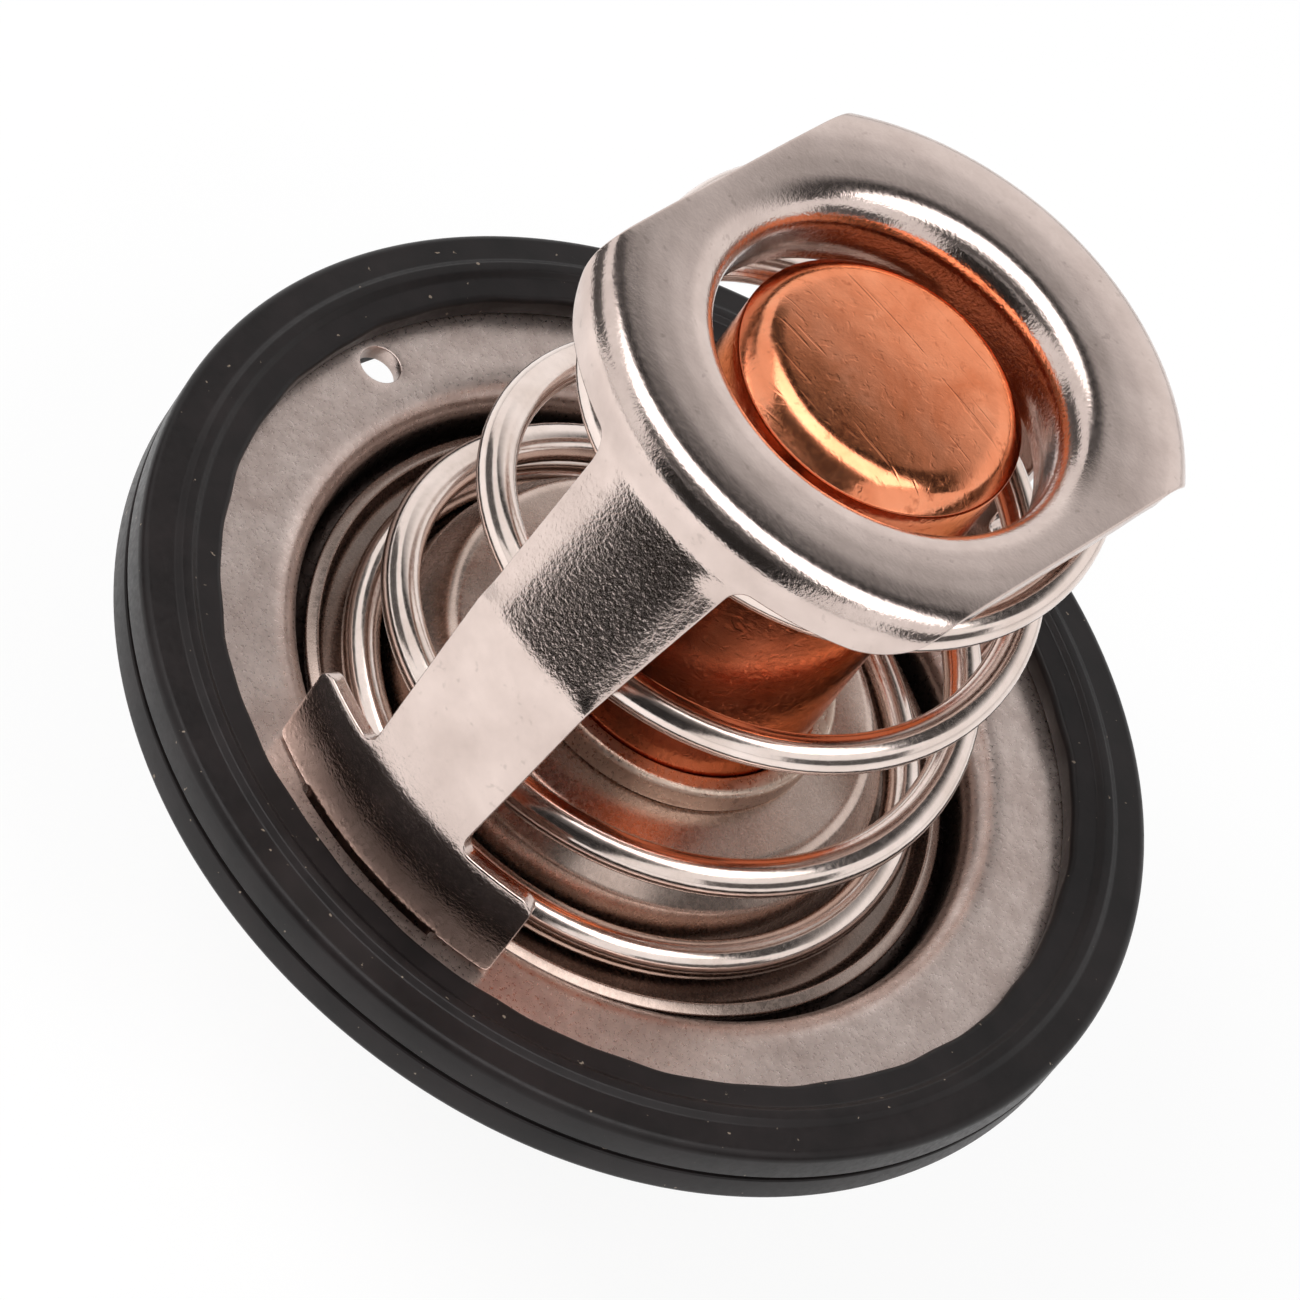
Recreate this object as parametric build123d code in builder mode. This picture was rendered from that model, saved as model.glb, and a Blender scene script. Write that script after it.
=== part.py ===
from build123d import *
import os
from math import ceil, cos, radians, sin

# Engine thermostat with a 67 mm rubber-rimmed flange.
# Frame: +Z runs along the valve axis, from the hidden bridge towards the stirrup plate.
# The origin is on that axis, in the upper metal face of the flange. Millimetres.

# ---------------------------------------------------------------- driving sizes
# rubber rim
RIM_R = 33.5              # outside radius of the rubber rim
RIM_HEIGHT = 4.9          # height of the rim
RIM_DROP = 0.25           # middle of the rim below the middle of the flange sheet
RIM_W = 5.1               # width of the rim, from its outside to its lips
RIM_EDGE = 0.5            # rounding of the rim's outer edges
RIM_BEAD_IN = 2.8         # raised sealing bead on each face, inside the rim's outer radius
RIM_BEAD_W = 0.9          # width of that bead
RIM_BEAD_H = 0.3          # height of that bead
RIM_GROOVE_W = 0.35       # width of the parting groove round the side
RIM_GROOVE_D = 0.3        # depth of that groove

# flange with its well
FLANGE_T = 1.2            # sheet thickness
FLANGE_GRIP = 3.2         # how far the flange reaches under the rim's lips
SLOT_LAND = 0.3           # flat left between a slot and the rolled edge of the well
WELL_EDGE = 2.0           # rolled edge at the mouth of the well
WELL_FLOOR_BEND = 2.0     # outer bend where the wall turns into the seat
SEAT_DEPTH = 4.5          # upper face of the seat below the flange
SEAT_OVERLAP = 1.6        # how far the seat reaches under the disc's pan
VENT_R = 1.35             # air-bleed hole
VENT_IN = 1.8             # its centre inside the rim's lips
VENT_ANGLE = 177.0        # its direction round the axis, degrees

# stirrup frame: plate, guide collar, skirts, legs, feet and tongues in one sheet
FRAME_T = 1.0             # sheet thickness
FRAME_TOP = 34.85         # upper face of the plate
PLATE_FLAT = 3.95         # flat of the plate between the collar's lip and the skirts' bend
PLATE_W = 30.0            # width between the plate's straight sides
PLATE_BEND = 2.0          # outer bend between plate and skirt
SKIRT_H = 3.5             # height of the skirts
SKIRT_CORNER = 3.0        # rounding of the skirts' lower corners
GUIDE_GAP = 2.0           # free space between the copper cup and the collar
COLLAR_LIP = 2.2          # rolled lip between plate and collar
COLLAR_H = 5.0            # depth of the collar
COLLAR_ROOT = 1.4         # flat of the plate kept with the collar when it is made
LEG_KNEE_IN = 2.0         # knee of the leg inside the foot's outer radius
LEG_KNEE_DROP = 14.45     # knee below the plate's upper face
LEG_TOP_W = 11.6          # leg width below the skirt
LEG_KNEE_W = 9.4          # leg width at the knee
LEG_FOOT_W = 8.0          # leg width where it joins the foot
LEG_ROOT = 1.0            # inside rounding between skirt and leg
LEG_BEND = 5.0            # soft bends along the leg
FOOT_W = 19.0             # width of the foot
FOOT_H = 7.0              # height of the foot above the flange
TONGUE_W = 11.2           # width of the tongue through the slot
SLOT_GAP = 0.3            # clearance of the slot round the tongue
STAKE_W = 13.6            # width of the tongue's staked end
STAKE_H = 1.4             # height of the staked end
STAKE_LAND = 0.2          # flat of the bridge's foot outside the tongue

# bridge under the flange
BRIDGE_T = 1.5            # sheet thickness
BRIDGE_CLEAR = 0.3        # clearance between its arms and the rim's lower lip
BRIDGE_BEND = 2.0         # outer bends
BRIDGE_SHOULDER = 6.5     # straight drop of the arms below the flange
BRIDGE_HEIGHT = 22.5      # drop of the bridge's crown below the flange
BRIDGE_CROWN_R = 9.0      # radius at which the arms meet the crown
BRIDGE_CROWN_RISE = 1.0   # slope of the crown towards its cup
BRIDGE_FOOT_W = 18.0      # width of its feet
BRIDGE_ARM_W = 13.0       # width of its arms
BRIDGE_CUP_ROOT = 0.4     # inside rounding between crown and cup
BRIDGE_CUP_BEND = 1.8     # outer rounding of the cup's end
CUP_H = 3.2               # depth of the cup that holds the piston

# wax element
CAPSULE_R = 9.15          # outside radius of the copper cup
CAPSULE_WALL = 0.9        # wall of the cup
CAPSULE_SINK = 2.35       # top of the cup below the plate's upper face
CAPSULE_HEAD_T = 1.2      # thickness of the head
CAPSULE_EDGE = 1.7        # rounding of the head
CAPSULE_RIM_W = 1.35      # width of the out-turned rim
GUIDE_WRAP = 0.7          # guide body outside the cup's rim
GUIDE_T = 2.2             # thickness of the guide body's plate
GUIDE_LIP = 0.55          # thickness of the lip rolled over the cup's rim
NECK_WALL = 1.5           # wall of the guide's neck round the wiper ring
NECK_H = 6.6              # length of the neck
PISTON_R = 2.0            # piston radius
PISTON_COVER = 14.3       # depth of wax above the piston's end, shut
PISTON_CHAMFER = 0.5      # chamfer at both ends of the piston
PISTON_RUN = 0.06         # running clearance of the piston in the guide
SEAL_RUN = 0.09           # clearance of the soft pieces round the piston
SLEEVE_WALL = 2.0         # wall of the rubber sleeve
SLEEVE_FLANGE = 1.2       # thickness of the sleeve's flange
SLEEVE_CROWN = 1.8        # thickness over the piston's end
PISTON_VOID = 0.3         # space over the piston's end
BACKUP_W = 1.7            # width of the backing washer outside the piston
BACKUP_T = 0.8            # its thickness
WIPER_W = 1.9             # width of the wiper ring outside the piston
WIPER_T = 1.5             # its thickness
WIPER_LIP = 0.6           # rolled end that keeps the wiper in

# valve disc
DISC_T = 0.9              # sheet thickness
DISC_PLAY = 0.05          # clearance of disc and ring round the cup
HUB_W = 2.2               # width of the hub's flat
CONE_DROP = 2.7           # drop of the cone from the hub
STEP_W = 0.8              # run of the steep step under the cone
PAN_W = 3.6               # width of the pan between the step and its rim
PAN_GAP = 2.3             # pan's rim inside the wall of the well
PAN_FLARE = 0.5           # how far the turned-up rim leans out
DISC_RIM_H = 1.3          # height of the turned-up rim
DISC_BEND = 0.55          # inside bends of the disc
HUB_Z = 3.2               # upper face of the hub, shut
SEAT_GAP = 0.1            # gap left between the shut disc and its seat
RING_W = 1.35             # width of the retaining ring
RING_H = 1.9              # height of the retaining ring

# main spring
WIRE_R = 1.2              # wire radius
SPRING_COLLAR_GAP = 1.4   # upper coil outside the collar
SPRING_RIM_GAP = 1.0      # lower coil inside the pan's rim
SPRING_GAP = 0.1          # gap left at each end
END_TURNS_LOW = 0.3       # flat part lying on the pan
RISE_TURNS_LOW = 1.0      # part in which the pitch opens
OPEN_TURNS = 2.35         # working turns of full pitch
RISE_TURNS_HIGH = 0.5     # part in which the pitch closes
END_TURNS_HIGH = 0.4      # flat part under the plate
SPRING_START = 120.0      # direction of the lower wire end, degrees
POINTS_PER_TURN = 12      # points through which the wire is drawn

# ---------------------------------------------------------------- derived places
rim_lip_r = RIM_R - RIM_W
rim_bead_r = RIM_R - RIM_BEAD_IN
flange_r = rim_lip_r + FLANGE_GRIP
flange_low = -FLANGE_T
flange_mid = -FLANGE_T / 2
rim_mid = flange_mid - RIM_DROP
rim_high = rim_mid + RIM_HEIGHT / 2
rim_low = rim_mid - RIM_HEIGHT / 2

bridge_r = rim_lip_r - BRIDGE_CLEAR
foot_r = bridge_r - BRIDGE_BEND - STAKE_LAND
foot_in_r = foot_r - FRAME_T
slot_in_r = foot_in_r - SLOT_GAP
slot_out_r = foot_r + SLOT_GAP
slot_w = TONGUE_W + 2 * SLOT_GAP
well_r = slot_in_r - SLOT_LAND - WELL_EDGE
vent_at_r = rim_lip_r - VENT_IN

pan_r = well_r - PAN_GAP
seat_bore_r = pan_r - SEAT_OVERLAP
cone_r = pan_r - PAN_W - STEP_W
pan_z = -SEAT_DEPTH + SEAT_GAP + DISC_T
cone_z = HUB_Z - CONE_DROP
hub_low = HUB_Z - DISC_T
disc_bore_r = CAPSULE_R + DISC_PLAY
cone_top_r = disc_bore_r + HUB_W

collar_r = CAPSULE_R + GUIDE_GAP
collar_root_r = collar_r + COLLAR_LIP + COLLAR_ROOT
plate_r = collar_r + COLLAR_LIP + PLATE_FLAT + PLATE_BEND
skirt_low = FRAME_TOP - SKIRT_H
plate_low = FRAME_TOP - FRAME_T
knee_r = foot_r - LEG_KNEE_IN
knee_z = FRAME_TOP - LEG_KNEE_DROP
bridge_foot_low = flange_low - BRIDGE_T
tongue_low = bridge_foot_low - STAKE_H

capsule_top = FRAME_TOP - CAPSULE_SINK
capsule_rim_r = CAPSULE_R + CAPSULE_RIM_W
guide_r = capsule_rim_r + GUIDE_WRAP
rim_seat_z = hub_low - GUIDE_LIP - CAPSULE_WALL
guide_low = rim_seat_z - GUIDE_T
neck_low = guide_low - NECK_H
cup_in_r = CAPSULE_R - CAPSULE_WALL
wax_high = capsule_top - CAPSULE_HEAD_T
piston_top = wax_high - PISTON_COVER
backup_r = PISTON_R + BACKUP_W
wiper_r = PISTON_R + WIPER_W
neck_r = wiper_r + NECK_WALL
sleeve_in_r = PISTON_R + SEAL_RUN
sleeve_r = sleeve_in_r + SLEEVE_WALL
sleeve_flange_z = rim_seat_z + SLEEVE_FLANGE
sleeve_void_z = piston_top + PISTON_VOID
sleeve_high = sleeve_void_z + SLEEVE_CROWN
wiper_low = neck_low + WIPER_LIP

crown_z = flange_low - BRIDGE_HEIGHT
cup_z = crown_z - BRIDGE_CROWN_RISE - CUP_H
cup_r = PISTON_R + BRIDGE_T
piston_low = cup_z + BRIDGE_T

spring_top_r = collar_r + FRAME_T + SPRING_COLLAR_GAP + WIRE_R
spring_pan_r = pan_r - SPRING_RIM_GAP - WIRE_R

REACH = 2 * RIM_R         # longer than any piece, for cuts right through
MATCH = 0.01              # how near a corner lies to the height it is picked by
os.makedirs("parts", exist_ok=True)


def mirrored_outline(half):
    """Close a right-hand half outline, listed from top to bottom, about the vertical axis."""
    return half + [(-x, z) for x, z in reversed(half)]


# ---------------------------------------------------------------- rubber rim
with BuildPart() as rim_seal:
    with BuildSketch(Plane.XZ) as rim_section:
        with BuildLine():
            Polyline((rim_lip_r, rim_low), (RIM_R, rim_low), (RIM_R, rim_high), (rim_lip_r, rim_high), close=True)
        make_face()
        fillet(rim_section.vertices().group_by(Axis.X)[-1], RIM_EDGE)
        fillet(rim_section.vertices().group_by(Axis.X)[0], RIM_EDGE / 2)
        with Locations((rim_bead_r, rim_high), (rim_bead_r, rim_low)):
            Ellipse(RIM_BEAD_W / 2, RIM_BEAD_H)
        with Locations((RIM_R, rim_mid)):
            Rectangle(2 * RIM_GROOVE_D, RIM_GROOVE_W, mode=Mode.SUBTRACT)
        with Locations(((rim_lip_r + flange_r) / 2 - RIM_EDGE, flange_mid)):
            Rectangle(FLANGE_GRIP + 2 * RIM_EDGE, FLANGE_T, mode=Mode.SUBTRACT)
    revolve(axis=Axis.Z)

# ---------------------------------------------------------------- flange with well and seat
with BuildPart() as flange:
    with BuildSketch(Plane.XZ):
        with BuildLine():
            FilletPolyline(
                (flange_r, 0), (well_r, 0), (well_r, -SEAT_DEPTH), (seat_bore_r, -SEAT_DEPTH),
                radius=[WELL_EDGE, WELL_FLOOR_BEND - FLANGE_T],
            )
            offset(amount=FLANGE_T, side=Side.LEFT)
        make_face()
    revolve(axis=Axis.Z)
    with BuildSketch(Plane.XY) as slots:
        Circle(slot_out_r)
        Circle(slot_in_r, mode=Mode.SUBTRACT)
        Rectangle(slot_w, REACH, mode=Mode.INTERSECT)
    extrude(amount=-FLANGE_T, mode=Mode.SUBTRACT)
    with BuildSketch(Plane.XY):
        with PolarLocations(vent_at_r, 1, start_angle=VENT_ANGLE):
            Circle(VENT_R)
    extrude(amount=-FLANGE_T, mode=Mode.SUBTRACT)

# ---------------------------------------------------------------- stirrup frame
leg_outline = [
    (PLATE_W / 2, FRAME_TOP), (PLATE_W / 2, skirt_low), (LEG_TOP_W / 2, skirt_low),
    (LEG_KNEE_W / 2, knee_z), (LEG_FOOT_W / 2, FOOT_H), (FOOT_W / 2, FOOT_H), (FOOT_W / 2, 0),
    (TONGUE_W / 2, 0), (TONGUE_W / 2, bridge_foot_low), (STAKE_W / 2, bridge_foot_low), (STAKE_W / 2, tongue_low),
]

with BuildPart() as frame:
    with BuildSketch(Plane.XZ):
        with BuildLine():
            FilletPolyline(
                (collar_root_r, FRAME_TOP), (plate_r, FRAME_TOP), (plate_r, skirt_low), (knee_r, knee_z),
                (foot_r, FOOT_H), (foot_r, tongue_low),
                radius=[PLATE_BEND, LEG_ROOT, LEG_BEND, LEG_BEND],
            )
            offset(amount=FRAME_T, side=Side.RIGHT)
        make_face()
    revolve(axis=Axis.Z)
    with BuildSketch(Plane.XZ) as front_view:
        with BuildLine():
            Polyline(*mirrored_outline(leg_outline), close=True)
        make_face()
        skirt_corners = front_view.vertices().filter_by(lambda v: abs(v.Y - skirt_low) < MATCH)
        fillet(skirt_corners.filter_by(lambda v: abs(v.X) > LEG_TOP_W), SKIRT_CORNER)
        leg_roots = front_view.vertices().filter_by(lambda v: abs(v.Y - skirt_low) < MATCH)
        fillet(leg_roots.filter_by(lambda v: abs(v.X) < LEG_TOP_W / 2 + MATCH), LEG_ROOT)
    extrude(amount=REACH, both=True, mode=Mode.INTERSECT)
    with BuildSketch(Plane.XZ):
        with BuildLine():
            FilletPolyline(
                (collar_r, FRAME_TOP - COLLAR_H), (collar_r, FRAME_TOP), (collar_root_r, FRAME_TOP),
                radius=COLLAR_LIP,
            )
            offset(amount=FRAME_T, side=Side.RIGHT)
        make_face()
    revolve(axis=Axis.Z)

# ---------------------------------------------------------------- bridge
bridge_outline = [
    (BRIDGE_FOOT_W / 2, flange_low), (BRIDGE_FOOT_W / 2, bridge_foot_low - BRIDGE_T),
    (BRIDGE_ARM_W / 2, bridge_foot_low - 2 * BRIDGE_T), (BRIDGE_ARM_W / 2, cup_z),
]

with BuildPart() as bridge:
    with BuildSketch(Plane.XZ):
        with BuildLine():
            FilletPolyline(
                (slot_in_r, flange_low), (bridge_r, flange_low), (bridge_r, flange_low - BRIDGE_SHOULDER),
                (BRIDGE_CROWN_R, crown_z), (cup_r, crown_z - BRIDGE_CROWN_RISE), (cup_r, cup_z), (0, cup_z),
                radius=[BRIDGE_BEND, BRIDGE_BEND, BRIDGE_BEND, BRIDGE_CUP_ROOT, BRIDGE_CUP_BEND],
            )
            offset(amount=BRIDGE_T, side=Side.RIGHT)
        make_face()
    revolve(axis=Axis.Z)
    with BuildSketch(Plane.XZ):
        with BuildLine():
            Polyline(*mirrored_outline(bridge_outline), close=True)
        make_face()
    extrude(amount=REACH, both=True, mode=Mode.INTERSECT)
    with BuildSketch(Plane.XY.offset(flange_low)):
        Circle(slot_out_r)
        Rectangle(slot_w, REACH, mode=Mode.INTERSECT)
    extrude(amount=-BRIDGE_T, mode=Mode.SUBTRACT)

# ---------------------------------------------------------------- valve disc and its retaining ring
with BuildPart() as valve_disc:
    with BuildSketch(Plane.XZ):
        with BuildLine():
            FilletPolyline(
                (disc_bore_r, HUB_Z), (cone_top_r, HUB_Z), (cone_r, cone_z), (cone_r + STEP_W, pan_z),
                (pan_r, pan_z), (pan_r + PAN_FLARE, pan_z + DISC_RIM_H),
                radius=[DISC_T + DISC_BEND, DISC_T + DISC_BEND, DISC_BEND, DISC_BEND],
            )
            offset(amount=DISC_T, side=Side.RIGHT)
        make_face()
    revolve(axis=Axis.Z)

with BuildPart() as retaining_ring:
    with BuildSketch(Plane.XZ) as ring_section:
        with Locations((disc_bore_r + RING_W / 2, HUB_Z + RING_H / 2)):
            Rectangle(RING_W, RING_H)
        fillet(ring_section.vertices().group_by(Axis.X)[-1], RING_W / 3)
    revolve(axis=Axis.Z)

# ---------------------------------------------------------------- copper cup of the wax element
with BuildPart() as capsule:
    with BuildSketch(Plane.XZ) as cup_section:
        with BuildLine():
            Polyline(
                (0, capsule_top), (0, wax_high), (cup_in_r, wax_high), (cup_in_r, rim_seat_z),
                (capsule_rim_r, rim_seat_z), (capsule_rim_r, rim_seat_z + CAPSULE_WALL),
                (CAPSULE_R, rim_seat_z + CAPSULE_WALL), (CAPSULE_R, capsule_top), close=True,
            )
        make_face()
        fillet(cup_section.vertices().group_by(Axis.Y)[-1].sort_by(Axis.X)[-1], CAPSULE_EDGE)
    revolve(axis=Axis.Z)

with BuildPart() as wax_charge:
    with BuildSketch(Plane.XZ):
        with BuildLine():
            Polyline(
                (0, sleeve_high), (sleeve_r, sleeve_high), (sleeve_r, sleeve_flange_z), (cup_in_r, sleeve_flange_z),
                (cup_in_r, wax_high), (0, wax_high), close=True,
            )
        make_face()
    revolve(axis=Axis.Z)

with BuildPart() as rubber_sleeve:
    with BuildSketch(Plane.XZ):
        with BuildLine():
            Polyline(
                (sleeve_in_r, rim_seat_z), (cup_in_r, rim_seat_z), (cup_in_r, sleeve_flange_z),
                (sleeve_r, sleeve_flange_z), (sleeve_r, sleeve_high), (0, sleeve_high), (0, sleeve_void_z),
                (sleeve_in_r, sleeve_void_z), close=True,
            )
        make_face()
    revolve(axis=Axis.Z)

# ---------------------------------------------------------------- guide body, washers and piston
with BuildPart() as guide_body:
    with BuildSketch(Plane.XZ) as guide_section:
        with BuildLine():
            Polyline(
                (0, neck_low), (neck_r, neck_low), (neck_r, guide_low), (guide_r, guide_low), (guide_r, hub_low),
                (disc_bore_r, hub_low), (disc_bore_r, hub_low - GUIDE_LIP), (capsule_rim_r, hub_low - GUIDE_LIP),
                (capsule_rim_r, rim_seat_z), (0, rim_seat_z), close=True,
            )
        make_face()
        fillet(guide_section.vertices().sort_by(Axis.X)[-2:], GUIDE_LIP)
    revolve(axis=Axis.Z)
    Cylinder(
        PISTON_R + PISTON_RUN, REACH, align=(Align.CENTER, Align.CENTER, Align.CENTER), mode=Mode.SUBTRACT,
    )
    with Locations((0, 0, rim_seat_z)):
        Cylinder(backup_r, BACKUP_T, align=(Align.CENTER, Align.CENTER, Align.MAX), mode=Mode.SUBTRACT)
    with Locations((0, 0, wiper_low)):
        Cylinder(wiper_r, WIPER_T, align=(Align.CENTER, Align.CENTER, Align.MIN), mode=Mode.SUBTRACT)
    with Locations((0, 0, neck_low)):
        Cylinder(
            wiper_r - WIPER_LIP, WIPER_LIP, align=(Align.CENTER, Align.CENTER, Align.MIN), mode=Mode.SUBTRACT,
        )

with BuildPart() as backup_washer:
    with BuildSketch(Plane.XY.offset(rim_seat_z - BACKUP_T)):
        Circle(backup_r)
        Circle(sleeve_in_r, mode=Mode.SUBTRACT)
    extrude(amount=BACKUP_T)

with BuildPart() as wiper_ring:
    with BuildSketch(Plane.XY.offset(wiper_low)):
        Circle(wiper_r)
        Circle(sleeve_in_r, mode=Mode.SUBTRACT)
    extrude(amount=WIPER_T)

with BuildPart() as piston:
    with BuildSketch(Plane.XY.offset(piston_low)):
        Circle(PISTON_R)
    extrude(amount=piston_top - piston_low)
    chamfer(piston.edges().group_by(Axis.Z)[-1], PISTON_CHAMFER)
    chamfer(piston.edges().group_by(Axis.Z)[0], PISTON_CHAMFER)

# ---------------------------------------------------------------- main spring
spring_low = pan_z + SPRING_GAP + WIRE_R
spring_high = plate_low - SPRING_GAP - WIRE_R
rise_from = END_TURNS_LOW
open_from = rise_from + RISE_TURNS_LOW
close_from = open_from + OPEN_TURNS
flat_from = close_from + RISE_TURNS_HIGH
spring_turns = flat_from + END_TURNS_HIGH
open_pitch = (spring_high - spring_low) / (RISE_TURNS_LOW / 2 + OPEN_TURNS + RISE_TURNS_HIGH / 2)


def coil_height(turns):
    """Height of the wire's centre after a number of turns from its lower end."""
    rise = min(max(turns - rise_from, 0), RISE_TURNS_LOW)
    middle = min(max(turns - open_from, 0), OPEN_TURNS)
    close = min(max(turns - close_from, 0), RISE_TURNS_HIGH)
    rise_part = rise ** 2 / (2 * RISE_TURNS_LOW)
    close_part = close - close ** 2 / (2 * RISE_TURNS_HIGH)
    return spring_low + open_pitch * (rise_part + middle + close_part)


def coil_point(turns):
    """Centre of the wire after a number of turns from its lower end."""
    z = coil_height(turns)
    share = (spring_high - z) / (spring_high - spring_low)
    swell = share ** 2 * (3 - 2 * share)
    r = spring_top_r + (spring_pan_r - spring_top_r) * swell
    angle = radians(SPRING_START + 360 * turns)
    return (r * cos(angle), r * sin(angle), z)


wire_points = ceil(spring_turns * POINTS_PER_TURN)
with BuildPart() as main_spring:
    with BuildLine() as wire:
        Spline(*[coil_point(spring_turns * i / wire_points) for i in range(wire_points + 1)])
    with BuildSketch(Plane(origin=wire.line @ 0, z_dir=wire.line % 0)):
        Circle(WIRE_R)
    sweep(path=wire.line, is_frenet=True)

# ---------------------------------------------------------------- one file for each piece
pieces = {
    "rim_seal": rim_seal,
    "flange": flange,
    "frame": frame,
    "bridge": bridge,
    "valve_disc": valve_disc,
    "retaining_ring": retaining_ring,
    "capsule": capsule,
    "wax_charge": wax_charge,
    "rubber_sleeve": rubber_sleeve,
    "guide_body": guide_body,
    "backup_washer": backup_washer,
    "wiper_ring": wiper_ring,
    "piston": piston,
    "main_spring": main_spring,
}
for name, piece in pieces.items():
    piece.part.label = name
    export_step(piece.part, f"parts/{name}.step")
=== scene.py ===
import math

import bpy
import numpy as np
from mathutils import Matrix, Vector
from mathutils.geometry import delaunay_2d_cdt


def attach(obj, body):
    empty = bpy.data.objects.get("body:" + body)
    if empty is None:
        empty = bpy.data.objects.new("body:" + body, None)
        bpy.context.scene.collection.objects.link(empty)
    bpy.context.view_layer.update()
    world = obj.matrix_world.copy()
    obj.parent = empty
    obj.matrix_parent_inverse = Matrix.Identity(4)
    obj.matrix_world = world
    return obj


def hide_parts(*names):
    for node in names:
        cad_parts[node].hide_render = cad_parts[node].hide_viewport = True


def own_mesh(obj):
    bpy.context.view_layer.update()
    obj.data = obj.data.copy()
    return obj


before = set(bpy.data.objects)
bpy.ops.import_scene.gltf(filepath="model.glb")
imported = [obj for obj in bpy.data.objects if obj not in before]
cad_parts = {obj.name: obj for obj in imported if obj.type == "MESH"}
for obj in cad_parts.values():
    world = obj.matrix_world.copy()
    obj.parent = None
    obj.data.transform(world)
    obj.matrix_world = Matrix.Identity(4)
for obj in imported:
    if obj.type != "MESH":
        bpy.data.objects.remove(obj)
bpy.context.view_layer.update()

MM = 0.001

# ---------------------------------------------------------------- sizes, in millimetres
# rubber rim: outside and lips, upper and lower face, middle of the flange sheet in it
RIM_R, RIM_LIP_R = 33.5, 28.4
RIM_HIGH, RIM_LOW, SHEET_MID = 1.6, -3.3, -0.6
BEAD_R, BEAD_W, BEAD_H = 30.7, 0.45, 0.3
BEAD_TOP_HALF, BEAD_SLOPE = 0.3, 0.25
GROOVE_Z, GROOVE_W, GROOVE_D = -0.85, 0.35, 0.3
WAVES = ((0.05, 9, 1), (0.04, 23, 0), (0.03, 41, 2))  # height, number round the rim, start
WAVE_SHIFT, WAVE_BAND, WAVE_LOW = 0.06, 0.5, 0.2      # inward shift, width and lower end of the wavy edge

# flange, its well and seat, the slots for the tongues and the bleed hole
FLANGE_T, FLANGE_R = 1.2, 31.6
WELL_R, SEAT_Z, SEAT_BORE = 22.3, -4.5, 18.4
SLOT_IN, SLOT_OUT, SLOT_HALF = 24.6, 26.2, 5.9
VENT_R, VENT_AT, VENT_ANGLE = 1.35, 26.6, math.radians(177)

# stirrup: plate, skirts and collar
TOP, SHEET_T, PLATE_R, PLATE_HALF = 34.85, 1.0, 19.3, 15.0
PLATE_FLAT_IN, PLATE_FLAT_OUT = 14.6, 16.2
PLATE_FALL_IN, PLATE_FALL_OUT = 0.16, 0.2             # how far the plate rolls off towards its edges
SKIRT_LOW, COLLAR_R, COLLAR_H = 31.35, 11.15, 5.9
# stirrup: legs, feet, tongues and their staked ends
KNEE_R, KNEE_Z, FOOT_R, FOOT_H = 23.9, 20.4, 25.9, 7.0
LEG_TOP_HALF, LEG_KNEE_HALF, LEG_FOOT_HALF = 5.8, 4.7, 4.0
FOOT_HALF, FOOT_LOW = 9.5, 0.05
TONGUE_HALF, STAKE_HALF = 5.6, 6.8
STAKE_TOP, STAKE_LEAD, STAKE_Z = -2.7, 0.05, -4.1
LEG_FALL, LEG_CROWN_HALF, LEG_EDGE_HALF = 0.34, 3.0, 5.6

# bridge
BRIDGE_T, BRIDGE_R, BRIDGE_Z, CROWN_R, CROWN_SLOPE = 1.5, 28.1, -23.7, 9.0, 1.0
SHOULDER_Z = -7.7
CUP_R, CUP_Z = 3.5, -27.9
ARM_HALF, ARM_LOW, BRIDGE_FOOT_HALF, BRIDGE_FOOT_LOW = 6.5, -4.4, 9.0, -3.0
NOTCH_D = 1.6                                         # depth of the notch round the tongue

# valve disc and its ring
HUB_Z, PAN_Z, DISC_T, BORE_R = 3.2, -3.5, 0.9, 9.2
HUB_R, HUB_FALL = 14.0, 0.3
CONE_R, CONE_Z = 15.8, 0.3
PAN_IN, PAN_OUT, PAN_RIM_R, PAN_RIM_H = 16.4, 20.0, 20.5, 1.3
RING_W, RING_H = 1.35, 1.9

# copper cup with its domed head
CAP_R, CAP_TOP, SEAT_RIM_Z, CAP_RIM_R, CAP_WALL = 9.15, 34.0, 0.85, 10.5, 0.9
DOME_R, DOME_DROP, SHOULDER_R = 6.8, 0.28, 2.6
SHOULDER_START, SHOULDER_END = math.radians(5), math.radians(44)
HEAD_EDGE_DROP, HEAD_INSIDE_DROP, HEAD_RIM_Z = 1.78, 2.8, 32.3

# guide body and piston
GUIDE_BORE, WIPER_R, NECK_R, GUIDE_R = 2.06, 3.3, 5.4, 11.2
NECK_LOW, WIPER_LOW, GUIDE_LOW, GUIDE_LIP_Z = -7.95, -7.35, -1.35, 2.1
PISTON_R, PISTON_TOP, PISTON_EDGE = 2.0, 17.0, 0.5

# main spring: wire, coil radii, gap at each end and turns from the lower end to the upper one
WIRE_R, SPRING_TOP_R, SPRING_PAN_R, SPRING_GAP = 1.2, 14.75, 17.8, 0.1
FLAT_LOW, RISE_LOW, OPEN_TURNS, RISE_HIGH, FLAT_HIGH = 0.3, 1.0, 2.35, 0.5, 0.4
SPRING_START = 120                                    # direction of the lower wire end, degrees

# ---------------------------------------------------------------- camera
AZIMUTH, ELEVATION, ROLL = 16.09, 45.80, 37.33        # degrees
CAMERA_AT = Vector((0.0918, -0.3233, 0.34894))        # metres
SENSOR, FOCAL_PIXELS, FRAME_PIXELS = 36, 8000, 1300


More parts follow.
